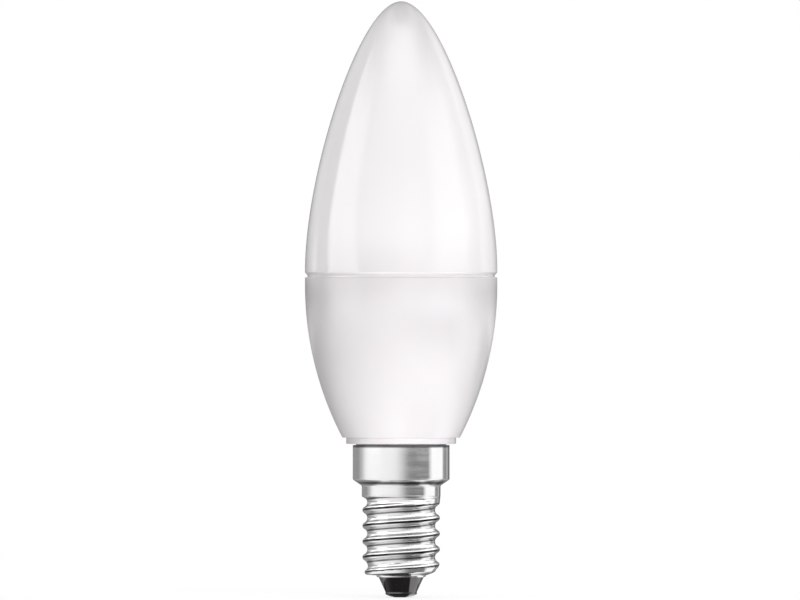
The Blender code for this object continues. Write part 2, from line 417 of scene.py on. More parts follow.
@dataclass(frozen=True)
class NickelPlate(Finish):
    """Bright nickel plate on brass sheet, drawn and then thread-rolled.

    Drawing leaves fine lines round the shell that stretch the highlights. They are about 0.02 mm wide on
    the real one, and are drawn at 0.35 mm to show. At each crest and beside each root a dark line is
    painted into the plate's colour: painted dark reflections, broken up in patches. Two rings of painted
    shade darken it where the barrel meets the housing and where it steps to the neck.
    """

    name: str = "nickel_plate_rolled"
    colour: str = "#DEDDDE"
    second_colour: str = "#D8D7D8"
    # Colour that the painted dark lines and the painted shade rings darken the plate to.
    painted_shade_colour: str = "#151315"
    roughness: Range = (0.09, 0.17)
    line_size: float = 0.35 * MM
    line_height: float = 0.04 * UM
    line_stretch: Corner = (0.06, 0.06, 1.0)
    # Painted dark reflections: widths and fades of the dark lines painted at each crest and beside each root.
    crest_shade_width: float = 0.21 * MM
    crest_shade_fade: Range = (0.6, 1.3)
    root_shade_width: float = 0.2 * MM
    root_shade_fade: Range = (0.3, 1.3)
    root_shade_offset: float = 0.46 * MM
    root_shade_strength: float = 0.85
    pressed_band: Range = (0.05, 0.45)
    # Breaks the painted dark lines up in patches along the thread, so that they are not even.
    shade_patch_size: float = 3.2 * MM
    shade_patch_band: Range = (0.36, 0.56)
    shade_patch_strength: Range = (0.88, 1.0)
    # Painted shade: heights of two dark rings, under the housing's collar and at the step to the neck.
    stains_and_shade_rings: tuple[tuple[float, float, float, float], ...] = (
        (26.75 * MM, 27.1 * MM, 28.0 * MM, 29.0 * MM), (20.15 * MM, 20.45 * MM, 20.65 * MM, 20.95 * MM),
    )
    shade_ring_strength: float = 0.86

    def rolled(self, tree: bpy.types.NodeTree) -> bpy.types.Node:
        """Finds where the painted dark reflection lines go, from the attribute that the rolling leaves on the
        shell.

        Args:
            tree: The material's tree.

        Returns:
            The node that gives how much painted dark reflection a place gets, from 0 to 1.
        """
        rolling = add_node(tree, "ShaderNodeAttribute", {"attribute_name": ScrewShell.attribute})
        parts = add_node(tree, "ShaderNodeSeparateXYZ", {}, {0: rolling.outputs["Vector"]})
        from_crest, offset, share = parts.outputs
        crest = add_node(tree, "ShaderNodeMapRange", {"interpolation_type": 'SMOOTHSTEP'}, {
            0: from_crest, 1: self.crest_shade_width * self.crest_shade_fade[0],
            2: self.crest_shade_width * self.crest_shade_fade[1], 3: 1.0, 4: 0.0})
        from_root_shade = add_node(tree, "ShaderNodeMath", {"operation": 'SUBTRACT'}, {
            0: offset, 1: self.root_shade_offset})
        beside = add_node(tree, "ShaderNodeMath", {"operation": 'ABSOLUTE'}, {0: from_root_shade.outputs[0]})
        root_shade = add_node(tree, "ShaderNodeMapRange", {"interpolation_type": 'SMOOTHSTEP'}, {
            0: beside.outputs[0], 1: self.root_shade_width * self.root_shade_fade[0],
            2: self.root_shade_width * self.root_shade_fade[1], 3: self.root_shade_strength, 4: 0.0})
        lines = add_node(tree, "ShaderNodeMath", {"operation": 'MAXIMUM'}, {
            0: crest.outputs[0], 1: root_shade.outputs[0]})
        pressed = add_node(tree, "ShaderNodeMapRange", {}, {
            0: share, 1: self.pressed_band[0], 2: self.pressed_band[1]})
        return add_node(tree, "ShaderNodeMath", {"operation": 'MULTIPLY'}, {
            0: lines.outputs[0], 1: pressed.outputs[0]})

    def make(self) -> bpy.types.Material:
        """Builds the material.

        Returns:
            The material.
        """
        material, tree, shader, places = self.start({"Metallic": 1.0})
        height = add_node(tree, "ShaderNodeSeparateXYZ", {}, {0: places}).outputs["Z"]
        stretched = add_node(tree, "ShaderNodeMapping", {}, {
            "Vector": places, "Scale": self.line_stretch})
        lines = add_node(tree, "ShaderNodeTexNoise", {}, {
            "Vector": stretched.outputs[0], "Scale": 1 / self.line_size,
            "Detail": 3.0, "Roughness": 0.65})
        shade_patches = add_node(tree, "ShaderNodeTexNoise", {}, {
            "Vector": places, "Scale": 1 / self.shade_patch_size, "Detail": 2.0})
        patchy_shade = add_node(tree, "ShaderNodeMapRange", {}, {
            0: shade_patches.outputs[0], 1: self.shade_patch_band[0], 2: self.shade_patch_band[1],
            3: self.shade_patch_strength[0], 4: self.shade_patch_strength[1]})
        # The painted dark reflection lines, broken up in patches.
        dark = add_node(tree, "ShaderNodeMath", {"operation": 'MULTIPLY'}, {
            0: self.rolled(tree).outputs[0], 1: patchy_shade.outputs[0]})
        # Paints the rings of painted shade under the collar and at the step to the neck into the dark mask.
        for bottom, full_bottom, full_top, top in self.stains_and_shade_rings:
            over = add_node(tree, "ShaderNodeMapRange", {"interpolation_type": 'SMOOTHSTEP'}, {
                0: height, 1: bottom, 2: full_bottom, 3: 0.0, 4: self.shade_ring_strength})
            under = add_node(tree, "ShaderNodeMapRange", {"interpolation_type": 'SMOOTHSTEP'}, {
                0: height, 1: full_top, 2: top, 3: self.shade_ring_strength, 4: 0.0})
            ring = add_node(tree, "ShaderNodeMath", {"operation": 'MINIMUM'}, {
                0: over.outputs[0], 1: under.outputs[0]})
            dark = add_node(tree, "ShaderNodeMath", {"operation": 'MAXIMUM'}, {
                0: dark.outputs[0], 1: ring.outputs[0]})
        bump = add_node(tree, "ShaderNodeBump", {}, {
            "Distance": self.line_height, "Height": lines.outputs[0]})
        haze = self.dress(tree, shader, lines, lines, bump)
        # Mixes the plate's colour toward the painted shade colour where the painted lines and rings are.
        plate = add_node(tree, "ShaderNodeMix", {"data_type": 'RGBA'}, {
            0: dark.outputs[0], 6: haze.outputs[2], 7: linear(self.painted_shade_colour)})
        tree.links.new(plate.outputs[2], shader.inputs["Base Color"])
        return material


@dataclass(frozen=True)
class BlackGlass(Finish):
    """Black cap glass, pressed while hot.

    It is glossy with a slightly wavy skin and a few fine pits, and reads as black with soft grey
    reflections.
    """

    name: str = "black_cap_glass_pressed"
    colour: str = "#141213"
    second_colour: str = "#1C191A"
    roughness: Range = (0.07, 0.14)
    refraction: float = 1.6
    gloss_level: float = 1.0
    wave_size: float = 1.6 * MM
    wave_height: float = 14 * UM
    wave_swirl: float = 0.4
    pit_size: float = 0.5 * MM
    pit_height: float = 1.5 * UM

    def make(self) -> bpy.types.Material:
        """Builds the material.

        Returns:
            The material.
        """
        material, tree, shader, places = self.start({
            "IOR": self.refraction, "Specular IOR Level": self.gloss_level})
        waves = add_node(tree, "ShaderNodeTexNoise", {}, {
            "Vector": places, "Scale": 1 / self.wave_size, "Detail": 1.0, "Distortion": self.wave_swirl})
        pits = add_node(tree, "ShaderNodeTexVoronoi", {}, {"Vector": places, "Scale": 1 / self.pit_size})
        wave_bump = add_node(tree, "ShaderNodeBump", {}, {
            "Distance": self.wave_height, "Height": waves.outputs[0]})
        pit_bump = add_node(tree, "ShaderNodeBump", {}, {
            "Distance": self.pit_height, "Height": pits.outputs[0], "Normal": wave_bump.outputs[0]})
        self.dress(tree, shader, waves, waves, pit_bump)
        return material


@dataclass(frozen=True)
class TinnedBrass(Finish):
    """Brass rivet dipped in tin: dull silver, with the dip's soft lumps and darker stains."""

    name: str = "tinned_brass_dipped"
    colour: str = "#C4BEB2"
    second_colour: str = "#8E877B"
    roughness: Range = (0.24, 0.42)
    stain_band: Range = (0.5, 0.75)
    lump_size: float = 0.9 * MM
    lump_height: float = 18 * UM

    def make(self) -> bpy.types.Material:
        """Builds the material.

        Returns:
            The material.
        """
        material, tree, shader, places = self.start({"Metallic": 1.0})
        lumps = add_node(tree, "ShaderNodeTexNoise", {}, {
            "Vector": places, "Scale": 1 / self.lump_size, "Detail": 3.0})
        # Real stains from the tin dip, darker where the lumps are.
        stains_and_shade_rings = add_node(tree, "ShaderNodeMapRange", {}, {
            0: lumps.outputs[0], 1: self.stain_band[0], 2: self.stain_band[1]})
        bump = add_node(tree, "ShaderNodeBump", {}, {
            "Distance": self.lump_height, "Height": lumps.outputs[0]})
        self.dress(tree, shader, stains_and_shade_rings, lumps, bump)
        return material


@dataclass
class CandleBody:
    """The candle-shaped envelope: opal cover above the seam and satin housing below it.

    Beside each small rounding the outline has a support ring, which keeps the long faces' shading true.
    """

    length: float = 107.0 * MM
    radius: float = 17.26 * MM
    seam_height: float = 57.45 * MM
    seam_gap: float = 0.02 * MM
    land_height: float = 0.28 * MM
    land_draft: float = 0.12 * MM
    fit: float = 0.3 * MM
    cover_band: float = 0.5 * MM
    flank_share: float = 0.35
    nose_share: float = 0.438
    chamfer_width: float = 0.5 * MM
    chamfer_height: float = 0.85 * MM
    chamfer_round: float = 0.08 * MM
    rim_edge: float = 0.04 * MM
    rim_wall: float = 2.2 * MM
    rim_round: float = 0.12 * MM
    spigot_length: float = 3.5 * MM
    housing_band: float = 1.45 * MM
    housing_arc: float = 59.0 * MM
    collar_bottom: float = 27.55 * MM
    collar_height: float = 1.13 * MM
    collar_radius: float = 9.87 * MM
    edge_round: float = 0.15 * MM
    plug_radius: float = 8.09 * MM
    plug_bottom: float = 21.75 * MM
    stub_radius: float = 5.49 * MM
    stub_length: float = 6.0 * MM
    longest_run: float = 3 * MM
    curve_steps: int = 120
    arc_steps: int = 90
    segments: int = 256

    def cover_outline(self) -> list[Point]:
        """Draws the cover: candle curve, chamfered edge, rim and the spigot in the housing's recess.

        Returns:
            The outline from the tip down to the middle of the spigot.
        """
        rim = self.seam_height + self.seam_gap
        band_top = rim + self.chamfer_height + self.cover_band
        recess_radius = self.radius - self.rim_wall
        recess_floor = self.seam_height - self.spigot_length
        curve = interpolate_bezier(
            Vector((0, self.length)),
            Vector((self.radius * self.nose_share, self.length)),
            Vector((self.radius, band_top + (self.length - band_top) * self.flank_share)),
            Vector((self.radius, band_top)),
            self.curve_steps,
        )
        edge = rounded([
            (self.radius, band_top, 0),
            (self.radius, rim + self.chamfer_height + self.chamfer_round, 0),
            (self.radius, rim + self.chamfer_height, self.chamfer_round),
            (self.radius - self.chamfer_width, rim + self.land_height, 0),
            (self.radius - self.chamfer_width + self.land_draft, rim, self.rim_edge),
            (recess_radius - self.fit, rim, 0),
            (recess_radius - self.fit, recess_floor + self.fit, 0),
            (0, recess_floor + self.fit, 0),
        ])
        return [tuple(point) for point in curve[:-1]] + divided(edge, self.longest_run)

    def housing_outline(self) -> list[Point]:
        """Draws the housing: recess, rim, belly, arc, collar, and the plug and stub inside the cap.

        Returns:
            The outline from the recess's floor down to the middle of the stub.
        """
        recess_radius = self.radius - self.rim_wall
        recess_floor = self.seam_height - self.spigot_length
        bottom = self.collar_bottom + self.collar_height
        belly = self.seam_height - self.housing_band
        centre = (self.radius - self.housing_arc, belly)
        bottom_radius = centre[0] + math.sqrt(self.housing_arc**2 - (belly - bottom) ** 2)
        rim = rounded([
            (0, recess_floor, 0),
            (recess_radius, recess_floor, 0),
            (recess_radius, self.seam_height, 0),
            (self.radius, self.seam_height, self.rim_round),
            (self.radius, self.seam_height - 2 * self.rim_round, 0),
            (self.radius, belly, 0),
        ])
        flank = arc(centre, (self.radius, belly), (bottom_radius, bottom), self.arc_steps)
        foot = rounded([
            (*flank[-2], 0),
            (*flank[-1], self.edge_round),
            (self.collar_radius, bottom, 0),
            (self.collar_radius, self.collar_bottom + 2 * self.edge_round, 0),
            (self.collar_radius, self.collar_bottom, self.edge_round),
            (self.plug_radius, self.collar_bottom, 0),
            (self.plug_radius, self.plug_bottom, 0),
            (self.stub_radius, self.plug_bottom, 0),
            (self.stub_radius, self.plug_bottom - self.stub_length, 0),
            (0, self.plug_bottom - self.stub_length, 0),
        ])
        return divided(rim, self.longest_run)[:-1] + flank[:-2] + divided(foot, self.longest_run)

    def build(self) -> None:
        """Turns both pieces, dresses them and puts them on the frame."""
        cover = turned("cover", self.cover_outline(), self.segments)
        cover.data.materials.append(OpalPolycarbonate().make())
        stand_in(cover, "opal_cover")
        housing = turned("body", self.housing_outline(), self.segments)
        housing.data.materials.append(SatinPlastic().make())
        stand_in(housing, "housing")


@dataclass
class ScrewShell:
    """E14 screw shell: drawn from sheet, with a right-hand thread rolled into it by geometry nodes.

    The rule lists the rolling's steps: a result's name, an operation, and the names of its terms.
    """

    attribute: ClassVar[str] = "rolling"
    rule: ClassVar[Rule] = (
        ("xx", 'MULTIPLY', "x", "x"),
        ("rr", 'MULTIPLY_ADD', "y", "y", "xx"),
        ("radius", 'SQRT', "rr"),
        ("across", 'DIVIDE', "x", "radius"),
        ("side", 'MULTIPLY_ADD', "across", "half", "half"),
        ("over_lip", 'SUBTRACT', "z", "Lip Top"),
        ("in_heel", 'DIVIDE', "over_lip", "Heel Rise"),
        ("under_lead", 'SUBTRACT', "Lead Top", "z"),
        ("in_lead", 'DIVIDE', "under_lead", "Lead Length"),
        ("lower", 'MINIMUM', "in_heel", "in_lead"),
        ("lean_share", 'MAXIMUM', "lower", "zero"),
        ("lean", 'MULTIPLY', "lean_share", "Heel Lean"),
        ("height", 'MULTIPLY_ADD', "lean", "side", "z"),
        ("angle", 'ARCTAN2', "y", "x"),
        ("turned", 'DIVIDE', "angle", "turn"),
        ("helix", 'MULTIPLY_ADD', "turned", "Pitch", "Root Height"),
        ("over_helix", 'SUBTRACT', "height", "helix"),
        ("turns", 'DIVIDE', "over_helix", "Pitch"),
        ("whole", 'ROUND', "turns"),
        ("root", 'MULTIPLY_ADD', "whole", "Pitch", "helix"),
        ("offset", 'SUBTRACT', "height", "root"),
        ("distance", 'ABSOLUTE', "offset"),
        ("half_pitch", 'MULTIPLY', "Pitch", "half"),
        ("from_crest", 'SUBTRACT', "half_pitch", "distance"),
        ("distance_2", 'MULTIPLY', "distance", "distance"),
        ("root_arc_2", 'MULTIPLY', "Root Arc", "Root Arc"),
        ("root_rest", 'SUBTRACT', "root_arc_2", "distance_2"),
        ("root_safe", 'MAXIMUM', "root_rest", "zero"),
        ("root_reach", 'SQRT', "root_safe"),
        ("root_base", 'SUBTRACT', "Depth", "Root Arc"),
        ("root_groove", 'ADD', "root_base", "root_reach"),
        ("from_crest_2", 'MULTIPLY', "from_crest", "from_crest"),
        ("crest_arc_2", 'MULTIPLY', "Crest Arc", "Crest Arc"),
        ("crest_rest", 'SUBTRACT', "crest_arc_2", "from_crest_2"),
        ("crest_safe", 'MAXIMUM', "crest_rest", "zero"),
        ("crest_reach", 'SQRT', "crest_safe"),
        ("crest_groove", 'SUBTRACT', "Crest Arc", "crest_reach"),
        ("in_root", 'LESS_THAN', "distance", "Join Height"),
        ("deeper", 'SUBTRACT', "root_groove", "crest_groove"),
        ("groove", 'MULTIPLY_ADD', "in_root", "deeper", "crest_groove"),
        ("to_run_out", 'SUBTRACT', "Run-out Top", "root"),
        ("from_run_in", 'SUBTRACT', "root", "Mouth Height"),
        ("run_out_share", 'DIVIDE', "to_run_out", "Run-out Length"),
        ("run_in_share", 'DIVIDE', "from_run_in", "Run-in Length"),
        ("under_wheel", 'SUBTRACT', "Wheel Top", "height"),
        ("wheel_share", 'DIVIDE', "under_wheel", "Wheel Edge"),
        ("run_out", 'SMOOTHSTEP', "run_out_share"),
        ("run_in", 'SMOOTHSTEP', "run_in_share"),
        ("wheel", 'SMOOTHSTEP', "wheel_share"),
        ("heel", 'SMOOTHSTEP', "in_heel"),
        ("both_ends", 'MULTIPLY', "run_out", "run_in"),
        ("under_edge", 'MULTIPLY', "both_ends", "wheel"),
        ("share", 'MULTIPLY', "under_edge", "heel"),
        ("pressed", 'MULTIPLY', "groove", "share"),
        ("pressed_share", 'DIVIDE', "pressed", "radius"),
        ("dx", 'MULTIPLY', "x", "pressed_share"),
        ("dy", 'MULTIPLY', "y", "pressed_share"),
        ("new_x", 'SUBTRACT', "x", "dx"),
        ("new_y", 'SUBTRACT', "y", "dy"),
    )

    top: float = 27.35 * MM
    sheet: float = 0.3 * MM
    barrel_radius: float = 8.69 * MM
    lip_round: float = 0.12 * MM
    shoulder_height: float = 21.15 * MM
    shoulder_drop: float = 1.1 * MM
    shoulder_round: float = 0.35 * MM
    shoulder_hollow: float = 0.4 * MM
    neck_length: float = 1.25 * MM
    neck_step: float = 0.12 * MM
    pitch: float = 2.822 * MM
    thread_radius: float = 6.95 * MM
    depth: float = 0.86 * MM
    crest_arc: float = 0.6 * MM
    root_height: float = 7.2 * MM
    run_out_drop: float = 0.35 * MM
    run_out_length: float = 1.35 * MM
    wheel_drop: float = 0.6 * MM
    wheel_edge: float = 0.4 * MM
    run_in_length: float = 1.5 * MM
    mouth_height: float = 3.63 * MM
    mouth_radius: float = 4.35 * MM
    mouth_lip: float = 0.3 * MM
    mouth_edge: float = 0.06 * MM
    lip_slope: float = 0.12 * MM
    heel_taper: float = 0.47 * MM
    heel_rise: float = 0.42 * MM
    heel_round: float = 0.45 * MM
    heel_lean: float = 0.45 * MM
    lead_length: float = 2.1 * MM
    longest_run: float = 1.2 * MM
    longest_heel_run: float = 0.25 * MM
    round_steps: int = 8
    rings_per_pitch: int = 34
    segments: int = 192

    @property
    def thread_top(self) -> float:
        """Height where the plain neck ends and the rolled rings begin."""
        return self.shoulder_height - self.shoulder_drop - self.neck_length

    @property
    def run_out_top(self) -> float:
        """Height of the root at which the groove has run out."""
        return self.thread_top - self.run_out_drop

    @property
    def wheel_top(self) -> float:
        """Height of the rolling wheel's upper edge, above which the neck stays plain."""
        return self.thread_top - self.wheel_drop

    @property
    def heel_height(self) -> float:
        """Height of the heel's corner before it leans."""
        return self.mouth_height + self.heel_rise

    @property
    def lead_top(self) -> float:
        """Height where the shell starts to taper to the heel."""
        return self.heel_height + self.lead_length

    @property
    def flank_angle(self) -> float:
        """Steepest slope of the thread's flank, where the root arc meets the crest arc."""
        return 2 * math.atan(2 * self.depth / self.pitch)

    @property
    def root_arc(self) -> float:
        """Radius of the groove's root."""
        return self.pitch / (2 * math.sin(self.flank_angle)) - self.crest_arc

    def sheet_radius(self, height: float) -> float:
        """Gives the sheet's radius at a height before the thread is rolled.

        Args:
            height: The height above the contact's flat face.

        Returns:
            The radius of the outer face.
        """
        share = min(max((height - self.run_out_top + self.run_out_length) / self.run_out_length, 0), 1)
        neck = share * share * (3 - 2 * share)
        lead = min(max((self.lead_top - height) / self.lead_length, 0), 1)
        return self.thread_radius + self.neck_step * neck - self.heel_taper * lead

    def outline(self) -> list[Point]:
        """Draws the sheet's outer face: lip, barrel, shoulder, neck, thread rings, heel and mouth.

        Returns:
            The outline from the lip down to the mouth.
        """
        neck_radius = self.thread_radius + self.neck_step
        neck_top = self.shoulder_height - self.shoulder_drop
        heel_radius = self.thread_radius - self.heel_taper
        upper = rounded([
            (self.barrel_radius - self.lip_round, self.top, 0),
            (self.barrel_radius, self.top, self.lip_round),
            (self.barrel_radius, self.top - 2 * self.lip_round, 0),
            (self.barrel_radius, self.shoulder_height + self.shoulder_round, 0),
            (self.barrel_radius, self.shoulder_height, self.shoulder_round),
            (neck_radius, neck_top, self.shoulder_hollow),
            (neck_radius, self.thread_top, 0),
        ], self.round_steps)[1:]
        neck = divided(upper[-2:], self.pitch / self.rings_per_pitch)
        heel = rounded([
            (self.thread_radius, self.lead_top, 0),
            (heel_radius, self.heel_height, self.heel_round),
            (self.mouth_radius + self.lip_slope, self.mouth_height + self.mouth_lip, self.mouth_edge),
            (self.mouth_radius, self.mouth_height, 0),
        ], self.round_steps)[1:]
        drop = self.thread_top - heel[0][1]
        rings = round(drop * self.rings_per_pitch / self.pitch)
        heights = [self.thread_top - drop * ring / rings for ring in range(1, rings)]
        thread = [(self.sheet_radius(height), height) for height in heights]
        barrel = divided(upper[:-1], self.longest_run)
        return barrel + neck[1:] + thread + divided(heel, self.longest_heel_run)

    def rolling_tree(self) -> bpy.types.NodeTree:
        """Builds the geometry nodes that lean the heel and roll the thread into a turned sheet.

        Returns:
            The tree. Its inputs are the thread's sizes, and it leaves each point's distance from the
            crest, its offset from the root and the share of the rolling there as an attribute.
        """
        tree = bpy.data.node_groups.new("roll_thread", "GeometryNodeTree")
        tree.interface.new_socket("Geometry", in_out='INPUT', socket_type="NodeSocketGeometry")
        for name in self.rolling_sizes():
            tree.interface.new_socket(name, in_out='INPUT', socket_type="NodeSocketFloat")
        tree.interface.new_socket("Material", in_out='INPUT', socket_type="NodeSocketMaterial")
        tree.interface.new_socket("Geometry", in_out='OUTPUT', socket_type="NodeSocketGeometry")
        start = add_node(tree, "NodeGroupInput")
        place = add_node(tree, "ShaderNodeSeparateXYZ", {}, {
            0: add_node(tree, "GeometryNodeInputPosition").outputs[0]})
        value: dict[str, bpy.types.NodeSocket | float] = {
            name: start.outputs[name] for name in self.rolling_sizes()}
        value |= {"x": place.outputs[0], "y": place.outputs[1], "z": place.outputs[2]}
        value |= {"zero": 0.0, "half": 0.5, "turn": FULL_TURN}
        for name, operation, *terms in self.rule:
            eased = operation == 'SMOOTHSTEP'
            kind = "ShaderNodeMapRange" if eased else "ShaderNodeMath"
            settings = {"interpolation_type" if eased else "operation": operation}
            inputs = {index: value[term] for index, term in enumerate(terms)}
            value[name] = add_node(tree, kind, settings, inputs).outputs[0]
        marks = add_node(tree, "ShaderNodeCombineXYZ", {}, {
            0: value["from_crest"], 1: value["offset"], 2: value["share"]})
        per_point = {"data_type": 'FLOAT_VECTOR', "domain": 'POINT'}
        marked = add_node(tree, "GeometryNodeStoreNamedAttribute", per_point, {
            "Geometry": start.outputs["Geometry"], "Name": self.attribute, "Value": marks.outputs[0]})
        moved = add_node(tree, "ShaderNodeCombineXYZ", {}, {
            0: value["new_x"], 1: value["new_y"], 2: value["height"]})
        shaped = add_node(tree, "GeometryNodeSetPosition", {}, {
            "Geometry": marked.outputs[0], "Position": moved.outputs[0]})
        real = add_node(tree, "GeometryNodeRealizeInstances", {}, {"Geometry": shaped.outputs[0]})
        dressed = add_node(tree, "GeometryNodeSetMaterial", {}, {
            "Geometry": real.outputs[0], "Material": start.outputs["Material"]})
        add_node(tree, "NodeGroupOutput", {}, {"Geometry": dressed.outputs[0]})
        return tree

    def rolling_sizes(self) -> dict[str, float]:
        """Gives the rolling's sizes.

        Returns:
            The names of the tree's inputs, each with this shell's size.
        """
        return {
            "Pitch": self.pitch,
            "Depth": self.depth,
            "Crest Arc": self.crest_arc,
            "Root Arc": self.root_arc,
            "Join Height": self.root_arc * math.sin(self.flank_angle),
            "Root Height": self.root_height,
            "Run-out Top": self.run_out_top,
            "Run-out Length": self.run_out_length,
            "Run-in Length": self.run_in_length,
            "Wheel Top": self.wheel_top,
            "Wheel Edge": self.wheel_edge,
            "Mouth Height": self.mouth_height,
            "Lip Top": self.mouth_height + self.mouth_lip,
            "Heel Rise": self.heel_rise - self.mouth_lip,
            "Heel Lean": self.heel_lean,
            "Lead Top": self.lead_top,
            "Lead Length": self.lead_length,
        }

    def build(self) -> None:
        """Turns the sheet, rolls the thread, gives the sheet its thickness and puts it on the frame."""
        shell = turned("shell", self.outline(), self.segments)
        tree = self.rolling_tree()
        rolling = shell.modifiers.new("Rolling", 'NODES')
        rolling.node_group = tree
        sizes = self.rolling_sizes() | {"Material": NickelPlate().make()}
        for item in tree.interface.items_tree:
            if item.in_out == 'INPUT' and item.name in sizes:
                rolling[item.identifier] = sizes[item.name]
        wall = shell.modifiers.new("Sheet", 'SOLIDIFY')
        wall.thickness = self.sheet
        wall.offset = -1
        graph = bpy.context.evaluated_depsgraph_get()
        rolled = bpy.data.meshes.new_from_object(shell.evaluated_get(graph))
        shell.modifiers.clear()
        shell.data = rolled
        smooth(shell)
        stand_in(shell, "screw_shell")


@dataclass
class CapEnd:
    """The cap's lower end: black glass insulator, and the riveted contact in its pocket."""

    mouth_height: float = 3.63 * MM
    throat: float = 4.05 * MM
    flange_radius: float = 4.8 * MM
    flange_bottom: float = 4.35 * MM
    flange_top: float = 6.15 * MM
    cone_bottom: float = 0.98 * MM
    foot_radius: float = 2.83 * MM
    foot_round: float = 0.36 * MM
    throat_round: float = 0.12 * MM
    dome_arc: float = 6.0 * MM
    pocket_radius: float = 1.8 * MM
    pocket_floor: float = 1.05 * MM
    bore: float = 1.0 * MM
    contact_proud: float = 0.12 * MM
    contact_radius: float = 1.5 * MM
    contact_flat: float = 1.3 * MM
    contact_edge: float = 0.1 * MM
    contact_round: float = 0.05 * MM
    flat_round: float = 0.08 * MM
    contact_thickness: float = 0.75 * MM
    shank_radius: float = 0.7 * MM
    clinch_radius: float = 1.3 * MM
    clinch_bottom: float = 6.45 * MM
    clinch_top: float = 6.95 * MM
    longest_run: float = 1 * MM
    dome_steps: int = 8
    segments: int = 128

    def insulator_outline(self) -> list[Point]:
        """Draws the insulator round its bore: flange, cone, foot, dome and pocket.

        Returns:
            The outline from the bore's upper end round to its lower end, which closes on itself.
        """
        dome_centre = self.contact_proud + math.sqrt(self.dome_arc**2 - self.pocket_radius**2)
        foot_edge = dome_centre - math.sqrt(self.dome_arc**2 - self.foot_radius**2)
        pocket_edge = (self.pocket_radius, self.contact_proud)
        dome = arc((0, dome_centre), (self.foot_radius, foot_edge), pocket_edge, self.dome_steps)
        side = rounded([
            (self.bore, self.flange_top, 0),
            (self.flange_radius, self.flange_top, 0),
            (self.flange_radius, self.flange_bottom, 0),
            (self.throat, self.flange_bottom, 0),
            (self.throat, self.mouth_height, self.throat_round),
            (self.foot_radius, self.cone_bottom, self.foot_round),
            (*dome[0], self.foot_round),
            (*dome[1], 0),
        ])
        pocket = [(self.pocket_radius, self.pocket_floor), (self.bore, self.pocket_floor)]
        return divided(side + dome[2:] + pocket, self.longest_run)

    def contact_outline(self) -> list[Point]:
        """Draws the rivet: clinched end, shank, and head with its flat face at the bottom.

        Returns:
            The outline from the clinched end down to the middle of the flat face.
        """
        return divided(rounded([
            (0, self.clinch_top, 0),
            (self.clinch_radius, self.clinch_top, 0),
            (self.clinch_radius, self.clinch_bottom, 0),
            (self.shank_radius, self.clinch_bottom, 0),
            (self.shank_radius, self.contact_thickness, 0),
            (self.contact_radius, self.contact_thickness, 0),
            (self.contact_radius, self.contact_edge, self.contact_round),
            (self.contact_flat, 0, self.flat_round),
            (0, 0, 0),
        ]), self.longest_run)

    def build(self) -> None:
        """Turns both pieces, dresses them and puts them on the frame."""
        insulator = turned("cap_glass", self.insulator_outline(), self.segments, Loop.CLOSED)
        insulator.data.materials.append(BlackGlass().make())
        stand_in(insulator, "insulator")
        contact = turned("rivet", self.contact_outline(), self.segments)
        contact.data.materials.append(TinnedBrass().make())
        stand_in(contact, "centre_contact")


@dataclass(frozen=True)
class Tier:
    """A ring of panels, the stretch over which it takes over from the ring before, and its level.

    Each panel edge is given as degrees round from the camera's side and brightness there.
    """

    panels: Panels
    first: float
    last: float
    level: float = 1.0


@dataclass(frozen=True)
class Lamp:
    """A soft square lamp a metre from the bulb's middle, at an azimuth and elevation in degrees."""

    name: str
    azimuth: float
    elevation: float
    size: float
    power: float


